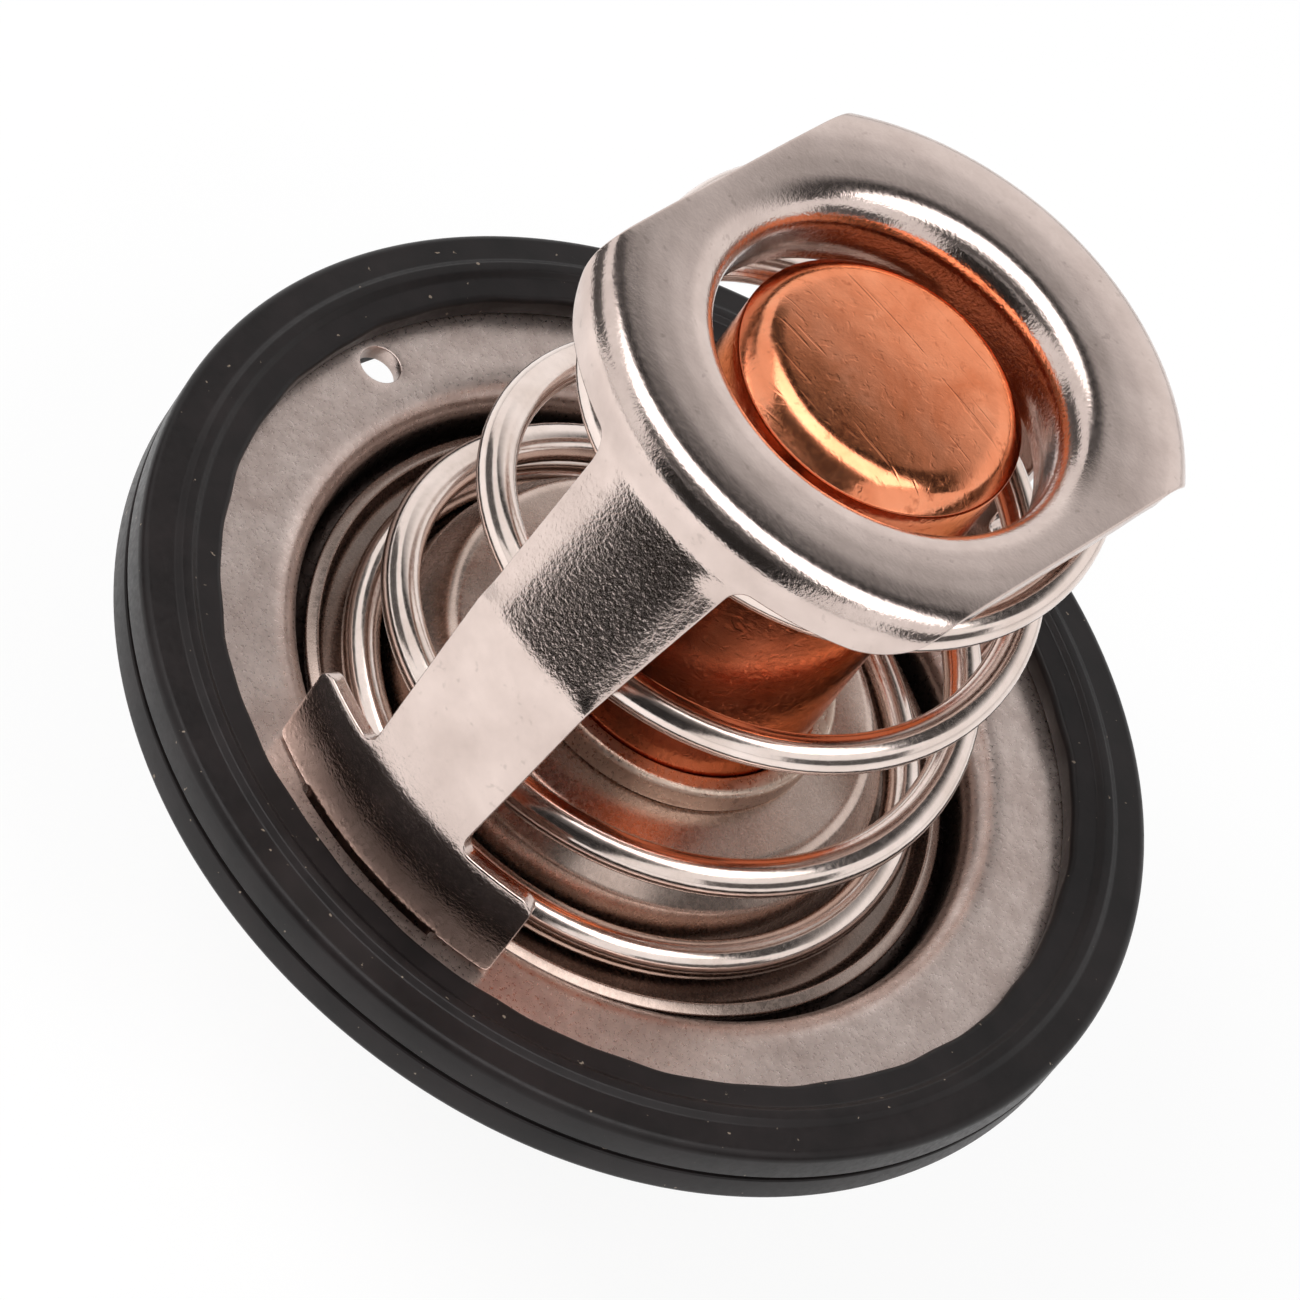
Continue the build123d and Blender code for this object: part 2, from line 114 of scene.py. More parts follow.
def direction(azimuth, elevation):
    """Unit vector away from the object; azimuth 0 is the front, -Y."""
    a, e = math.radians(azimuth), math.radians(elevation)
    return Vector((math.sin(a) * math.cos(e), -math.cos(a) * math.cos(e), math.sin(e)))


back = direction(AZIMUTH, ELEVATION)
right = Vector((0, 0, 1)).cross(back).normalized()
up = back.cross(right)
roll = math.radians(ROLL)
across_frame = math.cos(roll) * right + math.sin(roll) * up
up_frame = -math.sin(roll) * right + math.cos(roll) * up
turned = Matrix((across_frame, up_frame, back)).transposed().to_4x4()
camera = bpy.data.objects.new("camera", bpy.data.cameras.new("camera"))
camera.data.sensor_width = SENSOR
camera.data.lens = SENSOR * FOCAL_PIXELS / FRAME_PIXELS
camera.data.clip_start = 0.01
camera.data.clip_end = 20
camera.matrix_world = Matrix.Translation(CAMERA_AT) @ turned
bpy.context.collection.objects.link(camera)
bpy.context.scene.camera = camera
bpy.context.scene.view_settings.view_transform = "Standard"


# ---------------------------------------------------------------- outlines
def rounded(corners, radii, step, closed=False):
    """Points along a path whose corners are rounded, as an array."""
    pts = [Vector(c) for c in corners]
    n = len(pts)
    out = []
    for i, b in enumerate(pts):
        r = radii[i]
        if (not closed and i in (0, n - 1)) or r <= 0:
            out.append(b)
            continue
        u = (pts[i - 1] - b).normalized()
        v = (pts[(i + 1) % n] - b).normalized()
        inside = u.angle(v)
        turn = math.pi - inside
        if turn < 1e-3:
            out.append(b)
            continue
        centre = b + (u + v).normalized() * (r / math.sin(inside / 2))
        a0 = b + u * (r / math.tan(inside / 2)) - centre
        a1 = b + v * (r / math.tan(inside / 2)) - centre
        count = max(4, math.ceil(turn * r / step))
        for k in range(count + 1):
            t = k / count
            p = (math.sin((1 - t) * turn) * a0 + math.sin(t * turn) * a1) / math.sin(turn)
            out.append(centre + p)
    return np.array([(p[0], p[1]) for p in out])


def spaced(points, step, closed=False):
    """The same path with extra points on its long runs."""
    pts = list(points) + ([points[0]] if closed else [])
    out = []
    for a, b in zip(pts[:-1], pts[1:]):
        count = max(1, math.ceil(np.linalg.norm(b - a) / step))
        out += [a + (b - a) * k / count for k in range(count)]
    if not closed:
        out.append(pts[-1])
    return np.array(out)


def evenly(points, step):
    """A closed path with points the same distance apart."""
    loop = np.vstack([points, points[:1]])
    length = np.concatenate([[0], np.cumsum(np.linalg.norm(np.diff(loop, axis=0), axis=1))])
    count = max(12, round(length[-1] / step))
    at = np.linspace(0, length[-1], count, endpoint=False)
    return np.column_stack([np.interp(at, length, loop[:, 0]), np.interp(at, length, loop[:, 1])])


# ---------------------------------------------------------------- meshes
def new_piece(name, verts, faces, body, material, replaced):
    """A smooth piece from points in millimetres, on its body and in place of its CAD node."""
    mesh = bpy.data.meshes.new(name)
    mesh.from_pydata([tuple(float(c) * MM for c in v) for v in verts], [], faces)
    mesh.validate()
    mesh.polygons.foreach_set("use_smooth", [True] * len(mesh.polygons))
    mesh.update()
    piece = bpy.data.objects.new(name, mesh)
    bpy.context.collection.objects.link(piece)
    piece.data.materials.append(material)
    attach(piece, body)
    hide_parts(replaced)
    return piece


def keep_normals(piece):
    """Large faces stay flat next to their small rounded edges."""
    mod = piece.modifiers.new("weighted", "WEIGHTED_NORMAL")
    mod.keep_sharp = False
    mod.weight = 80


class Sheet:
    """A stamped sheet of revolution, unrolled flat so that its outline can be drawn.

    rho is the length along the section, counted so that it equals r at the point flat_at. sink(x, z) may
    give an extra depth, and side is -1 where the outer face lies right of the section's direction.
    """

    TRIANGLE_ROW = 0.866                              # spacing of grid rows, in grid steps
    EDGE_ANGLES = (22.5, 45, 67.5, 90)                # degrees round each rounded edge

    def __init__(self, corners, radii, flat_at, thickness, side=1):
        pts = spaced(rounded(corners, radii, 0.05), 0.1)
        step = np.linalg.norm(np.diff(pts, axis=0), axis=1)
        pts = pts[np.concatenate([[True], step > 1e-6])]
        step = np.linalg.norm(np.diff(pts, axis=0), axis=1)
        s = np.concatenate([[0], np.cumsum(step)])
        at = int(np.argmin(np.linalg.norm(pts - np.array(flat_at), axis=1)))
        self.rho = s - s[at] + pts[at, 0]
        self.r, self.z = pts[:, 0], pts[:, 1]
        t = np.gradient(pts, s, axis=0)
        t /= np.linalg.norm(t, axis=1)[:, None]
        self.nr, self.nz = -side * t[:, 1], side * t[:, 0]
        self.thickness = thickness
        self.sink = None

    def rho_at_z(self, z, low=0, high=None):
        """Unrolled radius at which the sheet passes height z, within a stretch of it."""
        rho, zz = self.rho, self.z
        keep = (rho >= low) & (rho <= (high if high is not None else rho[-1]))
        rho, zz = rho[keep], zz[keep]
        order = np.argsort(zz)
        return float(np.interp(z, zz[order], rho[order]))

    def flat(self, outline, sign):
        """Turns (x, rho) pairs on the side sign of the axis into points of the unrolled sheet."""
        out = []
        for x, rho in outline:
            r = np.interp(rho, self.rho, self.r)
            across = max(-1.0, min(1.0, x / r))
            out.append((rho * across, sign * rho * math.sqrt(1 - across * across)))
        return out

    def place(self, q, depth):
        """The point of the sheet for each unrolled point, at a depth below its outer face."""
        q = np.asarray(q)
        rho = np.linalg.norm(q, axis=1)
        c = np.where(rho > 1e-9, q[:, 0] / np.maximum(rho, 1e-9), 1)
        d = np.where(rho > 1e-9, q[:, 1] / np.maximum(rho, 1e-9), 0)
        if self.sink:
            depth = depth + self.sink(np.interp(rho, self.rho, self.r) * c, np.interp(rho, self.rho, self.z))
        r = np.interp(rho, self.rho, self.r) - depth * np.interp(rho, self.rho, self.nr)
        z = np.interp(rho, self.rho, self.z) - depth * np.interp(rho, self.rho, self.nz)
        return np.column_stack([r * c, r * d, z])

    def mesh(self, outer, holes, edge, grid):
        """Closed mesh of the sheet inside an outline, with rounded edges.

        The loops are evenly spaced, and the holes lie inside the outline.
        """
        loops = []
        for loop, is_hole in [(outer, False)] + [(h, True) for h in holes]:
            loop = np.asarray(loop, float)
            area = np.sum(loop[:, 0] * np.roll(loop[:, 1], -1) - np.roll(loop[:, 0], -1) * loop[:, 1])
            if (area < 0) != is_hole:
                loop = loop[::-1]
            ahead = np.roll(loop, -1, axis=0) - np.roll(loop, 1, axis=0)
            ahead /= np.linalg.norm(ahead, axis=1)[:, None]
            outward = np.column_stack([ahead[:, 1], -ahead[:, 0]])
            loops.append((loop, outward))
        inset = [loop - out * edge for loop, out in loops]
        low, high = inset[0].min(axis=0), inset[0].max(axis=0)
        xs = np.arange(low[0], high[0], grid)
        rows = []
        for j, y in enumerate(np.arange(low[1], high[1], grid * self.TRIANGLE_ROW)):
            rows.append(np.column_stack([xs + (grid / 2 if j % 2 else 0), np.full(len(xs), y)]))
        pts = np.vstack(rows)
        inside = np.zeros(len(pts), int)
        near = np.zeros(len(pts), bool)
        for loop in inset:
            inside += in_loop(pts, loop)
            near |= near_loop(pts, loop, grid * 0.6)
        pts = pts[(inside == 1) & ~near]
        verts2 = np.vstack(inset + [pts])
        edges, start = [], 0
        for loop in inset:
            n = len(loop)
            edges += [(start + k, start + (k + 1) % n) for k in range(n)]
            start += n
        v2, _, faces, _, _, _ = delaunay_2d_cdt([Vector(p) for p in verts2], edges, [], 0, 1e-7)
        v2 = np.array([(p[0], p[1]) for p in v2])
        if len(v2) != len(verts2):
            raise ValueError("an outline crosses itself")
        middle = np.array([v2[list(f)].mean(axis=0) for f in faces])
        covered = np.zeros(len(middle), int)
        for loop in inset:
            covered += in_loop(middle, loop)
        faces = [tuple(f) for f, c in zip(faces, covered) if c == 1]
        t = self.thickness
        top = self.place(v2, 0)
        bottom = self.place(v2, t)
        verts = [top, bottom]
        n2 = len(v2)
        out_faces = [self._turn(f, v2, True) for f in faces]
        out_faces += [tuple(n2 + i for i in self._turn(f, v2, False)) for f in faces]
        base, start = 2 * n2, 0
        arc = [math.radians(a) for a in self.EDGE_ANGLES]
        steps = [(edge * math.sin(a), edge * (1 - math.cos(a))) for a in arc]
        steps += [(o, t - d) for o, d in reversed(steps)]
        for (loop, outward), flat in zip(loops, inset):
            n = len(loop)
            rings = [list(range(start, start + n))]
            for o, d in steps:
                verts.append(self.place(flat + outward * o, d))
                rings.append(list(range(base, base + n)))
                base += n
            rings.append(list(range(n2 + start, n2 + start + n)))
            for a, b in zip(rings[:-1], rings[1:]):
                for k in range(n):
                    m = (k + 1) % n
                    out_faces.append((a[m], a[k], b[k], b[m]))
            start += n
        return np.vstack(verts), out_faces

    def _turn(self, face, v2, is_top):
        """Face corners in the order that makes its normal point out of the sheet."""
        a, b, c = v2[face[0]], v2[face[1]], v2[face[2]]
        anticlockwise = (b[0] - a[0]) * (c[1] - a[1]) - (b[1] - a[1]) * (c[0] - a[0]) > 0
        return tuple(face) if anticlockwise == is_top else tuple(reversed(face))


def in_loop(pts, loop):
    """1 for each point inside a closed loop."""
    x, y = pts[:, 0], pts[:, 1]
    crossed = np.zeros(len(pts), int)
    for (ax, ay), (bx, by) in zip(loop, np.roll(loop, -1, axis=0)):
        if ay == by:
            continue
        spans = (ay > y) != (by > y)
        crossed += spans & (x < (bx - ax) * (y - ay) / (by - ay) + ax)
    return crossed % 2


def near_loop(pts, loop, distance):
    """True for each point close to a loop's own points."""
    close = np.zeros(len(pts), bool)
    for p in loop:
        close |= np.abs(pts - p).max(axis=1) < distance
    return close


def circle(radius, step, centre=(0, 0)):
    """Evenly spaced points round a circle."""
    n = max(24, round(2 * math.pi * radius / step))
    a = np.linspace(0, 2 * math.pi, n, endpoint=False)
    return np.column_stack([centre[0] + radius * np.cos(a), centre[1] + radius * np.sin(a)])


def lathe(section, segments=288):
    """A closed section of (r, z) points turned about the axis."""
    count = len(section)
    verts, faces, ring = [], [], []
    for r, z in section:
        if r < 1e-6:
            ring.append([len(verts)] * segments)
            verts.append((0, 0, z))
        else:
            ring.append(list(range(len(verts), len(verts) + segments)))
            for k in range(segments):
                a = 2 * math.pi * k / segments
                verts.append((r * math.cos(a), r * math.sin(a), z))
    area = sum(
        section[i][0] * section[(i + 1) % count][1] - section[(i + 1) % count][0] * section[i][1]
        for i in range(count)
    )
    for i in range(count):
        a, b = ring[i], ring[(i + 1) % count]
        if a[0] == a[1] and b[0] == b[1]:
            continue
        for k in range(segments):
            m = (k + 1) % segments
            f = [a[k], a[m], b[m], b[k]]
            if area < 0:
                f = f[::-1]
            clean = [v for j, v in enumerate(f) if v != f[j - 1]]
            faces.append(tuple(clean))
    return verts, faces


def strap_outline(sheet, half, radii, spacing):
    """Outline of a strap with two equal legs, from (x, rho) corners down one side of a leg."""
    leg = half + [(-x, s) for x, s in reversed(half)]
    path = spaced(rounded(leg, radii + radii[::-1], 0.08), 0.1)
    near = sheet.flat(path, -1)
    outline = np.array(near + [(-x, -y) for x, y in near])
    step = np.linalg.norm(outline - np.roll(outline, 1, axis=0), axis=1)
    return evenly(outline[step > 1e-6], spacing)


# ---------------------------------------------------------------- materials
def colour(r, g, b):
    """Linear colour of an sRGB one."""
    return tuple(((c / 255 + 0.055) / 1.055) ** 2.4 if c > 10 else c / 255 / 12.92 for c in (r, g, b)) + (1,)


def shaded(tone, *shares):
    """A colour with each channel taken down to a share of itself."""
    return (*(c * share for c, share in zip(tone, shares)), 1)


def material(name):
    """A new material with its node tree, its shader and the object's own coordinates."""
    m = bpy.data.materials.new(name)
    m.use_nodes = True
    tree = m.node_tree
    shader = tree.nodes["Principled BSDF"]
    coords = tree.nodes.new("ShaderNodeTexCoord")
    return m, tree, shader, coords.outputs["Object"]


def feed(tree, socket, value):
    """Links an output to a socket, or sets the socket to a constant."""
    if isinstance(value, bpy.types.NodeSocket):
        tree.links.new(value, socket)
    else:
        socket.default_value = value


def node(tree, kind, **values):
    """A shader node whose sockets and settings are given by name."""
    made = tree.nodes.new("ShaderNode" + kind)
    for key, value in values.items():
        socket = key.replace("_", " ")
        if isinstance(value, bpy.types.NodeSocket) or socket in made.inputs:
            feed(tree, made.inputs[socket], value)
        else:
            setattr(made, key, value)
    return made


def combine(tree, operation, a, b):
    """A Math node of two values."""
    made = node(tree, "Math", operation=operation)
    feed(tree, made.inputs[0], a)
    feed(tree, made.inputs[1], b)
    return made.outputs[0]


def noise(tree, where, scale, detail=2.0, roughness=0.5, distortion=0.0):
    return node(tree, "TexNoise", Vector=where, Scale=scale, Detail=detail, Roughness=roughness,
                Distortion=distortion).outputs["Fac"]


def ramp(tree, fac, stops):
    """Colours at given places along a value."""
    made = node(tree, "ValToRGB", Fac=fac)
    elements = made.color_ramp.elements
    while len(elements) < len(stops):
        elements.new(0.5)
    for e, (at, c) in zip(elements, stops):
        e.position = at
        e.color = c if len(c) == 4 else (*c, 1)
    return made.outputs["Color"]


def span(tree, value, a, b, c, d):
    """Maps the range a to b onto c to d, and holds the ends."""
    made = node(tree, "MapRange", Value=value, From_Min=a, From_Max=b, To_Min=c, To_Max=d)
    return made.outputs["Result"]


def height_of(tree, where):
    return node(tree, "SeparateXYZ", Vector=where).outputs["Z"]


def bump(tree, height, distance, normal=None):
    """A bump of a height in millimetres, over another one if given."""
    made = node(tree, "Bump", Height=height, Distance=distance * MM, Strength=1.0)
    if normal is not None:
        tree.links.new(normal, made.inputs["Normal"])
    return made.outputs["Normal"]


def scratches(tree, where, rotation, scale, low, high):
    """Thin lines along one direction of the object."""
    turned = node(tree, "Mapping", Vector=where, Rotation=rotation, Scale=scale)
    lines = noise(tree, turned.outputs["Vector"], 1.0, detail=1, roughness=0.4)
    return span(tree, lines, low, high, 0, 1)


def mix(tree, share, first, second):
    made = node(tree, "Mix", data_type="RGBA", blend_type="MIX")
    for socket, value in ((made.inputs["Factor"], share), (made.inputs[6], first), (made.inputs[7], second)):
        feed(tree, socket, value)
    return made.outputs[2]


def mix_shaders(tree, share, first, second):
    made = node(tree, "MixShader")
    for socket, value in zip(made.inputs, (share, first, second)):
        feed(tree, socket, value)
    return made.outputs[0]


def steel(name, low, high, rough_low, rough_high, grain, wave,
          speck=0.0, mottle=0.0, scratch=0.0, peel=0.0, flat_z=0.0, painted_shade=None):
    """Steel between two colours and two roughnesses.

    grain, wave, scratch and peel are heights in millimetres, and peel is only below flat_z. speck and mottle
    are shares of dark dots and patches. The last argument, (top_z, low_z, share), is painted shade: a dark
    brown that grows from top_z down to low_z.
    """
    m, tree, shader, where = material(name)
    shader.inputs["Metallic"].default_value = 1.0
    cloud = noise(tree, where, 260, detail=4, roughness=0.6)
    fine = noise(tree, where, 3200, detail=3, roughness=0.7)
    tone = ramp(tree, cloud, [(0.3, low), (0.7, high)])
    if mottle:
        patches = noise(tree, where, 1100, detail=4, roughness=0.75)
        tone = mix(tree, span(tree, patches, 0.62, 0.40, 0, mottle), tone, shaded(low, 0.4, 0.36, 0.34))
    if speck:
        dots = noise(tree, where, 1500, detail=2, roughness=0.5)
        tone = mix(tree, span(tree, dots, 0.66, 0.74, 0, speck), tone, shaded(low, 0.25, 0.22, 0.2))
    # painted shade: the colour darkens towards a dark brown from top_z down to low_z, in the deep parts
    if painted_shade:
        top_z, low_z, share = painted_shade
        shade_mask = span(tree, height_of(tree, where), top_z * MM, low_z * MM, 0, share)
        tone = mix(tree, shade_mask, tone, colour(52, 40, 35))
    tree.links.new(tone, shader.inputs["Base Color"])
    tree.links.new(span(tree, fine, 0.3, 0.7, rough_low, rough_high), shader.inputs["Roughness"])
    normal = bump(tree, noise(tree, where, 170, detail=2, roughness=0.5), wave)
    normal = bump(tree, fine, grain, normal)
    if scratch:
        lines = scratches(tree, where, (0.3, 0.2, 0.7), (90, 3200, 900), 0.68, 0.72)
        normal = bump(tree, lines, -scratch, normal)
    if peel:
        formed = span(tree, height_of(tree, where), (flat_z - 0.02) * MM, (flat_z - 0.6) * MM, 0, 1)
        rough_skin = noise(tree, where, 4200, detail=2, roughness=0.6)
        normal = bump(tree, combine(tree, "MULTIPLY", rough_skin, formed), peel, normal)
    tree.links.new(normal, shader.inputs["Normal"])
    return m


frame_steel = steel("frame_steel", colour(202, 184, 176), colour(222, 204, 196), 0.12, 0.2, 0.005, 0.008,
                    speck=0.2, peel=0.022, flat_z=TOP)
# painted shade: the flange darkens from just below its top down into the well
flange_steel = steel("flange_steel", colour(206, 186, 178), colour(236, 218, 210), 0.24, 0.36, 0.018, 0.02,
                     speck=0.05, mottle=0.2, painted_shade=(-0.3, -4.0, 0.8))
# painted shade: the disc darkens from below its cone down into the pan
disc_steel = steel("disc_steel", colour(186, 164, 152), colour(212, 190, 179), 0.22, 0.32, 0.006, 0.03,
                   speck=0.1, painted_shade=(-1.0, -4.0, 0.7))
bridge_steel = steel("bridge_steel", colour(206, 188, 180), colour(228, 210, 202), 0.2, 0.32, 0.006, 0.05,
                     speck=0.15, scratch=0.004)
wire_steel = steel("wire_steel", colour(222, 204, 194), colour(240, 224, 216), 0.10, 0.2, 0.003, 0.012)
ring_steel = steel("ring_steel", colour(200, 176, 160), colour(232, 210, 194), 0.22, 0.40, 0.03, 0.02,
                   speck=0.35)
piston_steel = steel("piston_steel", colour(212, 206, 202), colour(226, 220, 216), 0.12, 0.2, 0.001, 0.004)


def copper(name):
    """Drawn copper with a bright head: clouds, tarnish spots, and painted shade on the wall below the head's
    rim.
    """
    m, tree, shader, where = material(name)
    shader.inputs["Specular Tint"].default_value = colour(250, 208, 184)
    shader.inputs["Metallic"].default_value = 1.0
    cloud = noise(tree, where, 190, detail=4, roughness=0.62, distortion=0.6)
    stops = [(0.28, colour(222, 128, 88)), (0.55, colour(242, 152, 112)), (0.8, colour(250, 170, 132))]
    spots = span(tree, noise(tree, where, 900, detail=3, roughness=0.6), 0.62, 0.72, 0, 0.45)
    tone = mix(tree, spots, ramp(tree, cloud, stops), colour(150, 72, 44))
    # painted shade: the cup's wall darkens below the head's rim, under the head and inside the collar
    wall_shade = span(tree, height_of(tree, where), HEAD_RIM_Z * MM, (HEAD_RIM_Z - 1.0) * MM, 0, 0.6)
    tree.links.new(mix(tree, wall_shade, tone, colour(150, 66, 38)), shader.inputs["Base Color"])
    fine = noise(tree, where, 2600, detail=3, roughness=0.7)
    tree.links.new(span(tree, fine, 0.3, 0.7, 0.10, 0.22), shader.inputs["Roughness"])
    normal = bump(tree, noise(tree, where, 210, detail=2, roughness=0.5), 0.05)
    normal = bump(tree, scratches(tree, where, (0, 0, 0.5), (120, 2600, 900), 0.64, 0.70), -0.006, normal)
    pits = noise(tree, where, 1300, detail=2, roughness=0.55, distortion=0.4)
    normal = bump(tree, span(tree, pits, 0.58, 0.68, 0, 1), -0.004, normal)
    tree.links.new(bump(tree, fine, 0.006, normal), shader.inputs["Normal"])
    return m


def rubber(name):
    """Moulded black rubber with a little dust."""
    m, tree, shader, where = material(name)
    cloud = noise(tree, where, 220, detail=3, roughness=0.6)
    tone = ramp(tree, cloud, [(0.3, colour(22, 19, 19)), (0.7, colour(34, 29, 29))])
    dust = span(tree, noise(tree, where, 1700, detail=2, roughness=0.5), 0.735, 0.76, 0, 0.7)
    tree.links.new(mix(tree, dust, tone, colour(150, 135, 120)), shader.inputs["Base Color"])
    fine = noise(tree, where, 2400, detail=3, roughness=0.6)
    tree.links.new(span(tree, fine, 0.3, 0.7, 0.28, 0.42), shader.inputs["Roughness"])
    tree.links.new(bump(tree, fine, 0.006), shader.inputs["Normal"])
    shader.inputs["Specular IOR Level"].default_value = 0.22
    return m


def plain(name, low, high, metallic, rough):
    """A material between two colours, for pieces inside."""
    m, tree, shader, where = material(name)
    shader.inputs["Metallic"].default_value = metallic
    cloud = noise(tree, where, 400, detail=4, roughness=0.6)
    tree.links.new(ramp(tree, cloud, [(0.3, low), (0.7, high)]), shader.inputs["Base Color"])
    fine = noise(tree, where, 2600, detail=2, roughness=0.6)
    tree.links.new(span(tree, fine, 0.3, 0.7, rough, rough + 0.12), shader.inputs["Roughness"])
    tree.links.new(bump(tree, fine, 0.004), shader.inputs["Normal"])
    return m


cup_copper = copper("cup_copper")
rim_rubber = rubber("rim_rubber")
sleeve_rubber = rubber("sleeve_rubber")
brass = plain("guide_brass", colour(196, 160, 92), colour(216, 182, 112), 1.0, 0.22)
wax = plain("wax", colour(160, 104, 72), colour(188, 130, 92), 0.0, 0.5)
ptfe = plain("ptfe", colour(226, 224, 216), colour(240, 238, 232), 0.0, 0.35)

# ---------------------------------------------------------------- rubber rim
groove_low, groove_high = GROOVE_Z - GROOVE_W / 2, GROOVE_Z + GROOVE_W / 2
bead_foot = BEAD_W + BEAD_SLOPE
sheet_low, sheet_high = SHEET_MID - FLANGE_T / 2, SHEET_MID + FLANGE_T / 2
rim_corners = [
    (RIM_LIP_R, RIM_LOW), (RIM_R, RIM_LOW),
    (RIM_R, groove_low), (RIM_R - GROOVE_D, groove_low), (RIM_R - GROOVE_D, groove_high), (RIM_R, groove_high),
    (RIM_R, RIM_HIGH), (BEAD_R + bead_foot, RIM_HIGH),
    (BEAD_R + BEAD_TOP_HALF, RIM_HIGH + BEAD_H), (BEAD_R - BEAD_TOP_HALF, RIM_HIGH + BEAD_H),
    (BEAD_R - bead_foot, RIM_HIGH), (RIM_LIP_R, RIM_HIGH),
    (RIM_LIP_R, sheet_high), (FLANGE_R, sheet_high), (FLANGE_R, sheet_low), (RIM_LIP_R, sheet_low),
]
rim_radii = [0.4, 0.6, 0.12, 0.1, 0.1, 0.12, 0.6, 0.3, 0.25, 0.25, 0.3, 0.4, 0.1, 0, 0, 0.1]
rim_verts, rim_faces = lathe(rounded(rim_corners, rim_radii, 0.06, closed=True), 360)
wavy_verts = []
for x, y, z in rim_verts:
    r, a = math.hypot(x, y), math.atan2(y, x)
    if r < RIM_LIP_R + WAVE_BAND and z > WAVE_LOW:
        r += sum(height * math.sin(number * a + begin) for height, number, begin in WAVES) - WAVE_SHIFT
    wavy_verts.append((r * math.cos(a), r * math.sin(a), z))
new_piece("rim_rubber_moulded", wavy_verts, rim_faces, "seat", rim_rubber, "rim_seal")

# ---------------------------------------------------------------- flange
flange_sheet = Sheet(
    [(SEAT_BORE, SEAT_Z), (WELL_R, SEAT_Z), (WELL_R, 0), (FLANGE_R, 0)], [0, 0.8, 2.0, 0], (27, 0), FLANGE_T
)


def slot_loop(sign):
    """A slot with straight ends between two circles."""
    sides = []
    for radius, way in ((SLOT_IN, 1), (SLOT_OUT, -1)):
        half = way * math.asin(SLOT_HALF / radius)
        sides += [(radius * math.sin(a), sign * radius * math.cos(a)) for a in np.linspace(-half, half, 60)]
    return evenly(np.array(sides), 0.3)


vent_centre = (VENT_AT * math.cos(VENT_ANGLE), VENT_AT * math.sin(VENT_ANGLE))
flange_verts, flange_faces = flange_sheet.mesh(
    circle(FLANGE_R, 0.6),
    [circle(float(flange_sheet.rho[0]), 0.45), slot_loop(-1), slot_loop(1), circle(VENT_R, 0.18, vent_centre)],
    edge=0.08, grid=0.55,
)
flange = new_piece("flange_sheet", flange_verts, flange_faces, "seat", flange_steel, "flange")
keep_normals(flange)

# ---------------------------------------------------------------- stirrup frame
stirrup = Sheet(
    [(COLLAR_R, TOP - COLLAR_H), (COLLAR_R, TOP - PLATE_FALL_IN), (PLATE_FLAT_IN, TOP), (PLATE_FLAT_OUT, TOP),
     (PLATE_R, TOP - PLATE_FALL_OUT), (PLATE_R, SKIRT_LOW), (KNEE_R, KNEE_Z), (FOOT_R, FOOT_H),
     (FOOT_R, STAKE_Z)],
    [0, 2.2, 12.0, 12.0, 2.0, 1.0, 5.0, 5.0, 0], (15.4, TOP), SHEET_T,
)


def stirrup_rho(z):
    return stirrup.rho_at_z(z, low=17)


def smooth(value, low, high):
    """Eased step from 0 at low to 1 at high."""
    t = np.clip((value - low) / (high - low), 0, 1)
    return t * t * (3 - 2 * t)


def leg_sink(x, z):
    """How far the leg's long edges fall back from its crown, between the skirt and the knee."""
    window = smooth(z, KNEE_Z - 0.6, KNEE_Z + 1.2) * (1 - smooth(z, SKIRT_LOW - 1.6, SKIRT_LOW - 0.2))
    return LEG_FALL * smooth(np.abs(x), LEG_CROWN_HALF, LEG_EDGE_HALF) * window


stirrup.sink = leg_sink
half_leg = [
    (PLATE_HALF, PLATE_HALF), (PLATE_HALF, stirrup_rho(SKIRT_LOW)), (LEG_TOP_HALF, stirrup_rho(SKIRT_LOW)),
    (LEG_KNEE_HALF, stirrup_rho(KNEE_Z)), (LEG_FOOT_HALF, stirrup_rho(FOOT_H)),
    (FOOT_HALF, stirrup_rho(FOOT_H)), (FOOT_HALF, stirrup_rho(FOOT_LOW)), (TONGUE_HALF, stirrup_rho(FOOT_LOW)),
    (TONGUE_HALF, stirrup_rho(STAKE_TOP)), (STAKE_HALF, stirrup_rho(STAKE_TOP - STAKE_LEAD)),
    (STAKE_HALF, stirrup_rho(STAKE_Z)),
]
half_leg_radii = [0, 3.0, 1.0, 4.0, 0.9, 1.0, 0.5, 0.25, 0.2, 0.3, 0.5]
stirrup_verts, stirrup_faces = stirrup.mesh(
    strap_outline(stirrup, half_leg, half_leg_radii, 0.22), [circle(float(stirrup.rho[0]), 0.25)],
    edge=0.16, grid=0.42,
)
stirrup_piece = new_piece(
    "stirrup_frame", stirrup_verts, stirrup_faces, "seat", frame_steel, "frame"
)
keep_normals(stirrup_piece)

# ---------------------------------------------------------------- bridge
bridge = Sheet(
    [(0, CUP_Z), (CUP_R, CUP_Z), (CUP_R, BRIDGE_Z - CROWN_SLOPE), (CROWN_R, BRIDGE_Z), (BRIDGE_R, SHOULDER_Z),
     (BRIDGE_R, -FLANGE_T), (SLOT_IN, -FLANGE_T)],
    [0, 1.8, 0.4, 2.0, 2.0, 2.0, 0], (1.0, CUP_Z), BRIDGE_T, side=-1,
)


def bridge_rho(z):
    return bridge.rho_at_z(z, low=14, high=float(bridge.rho[-1]) - 3.0)


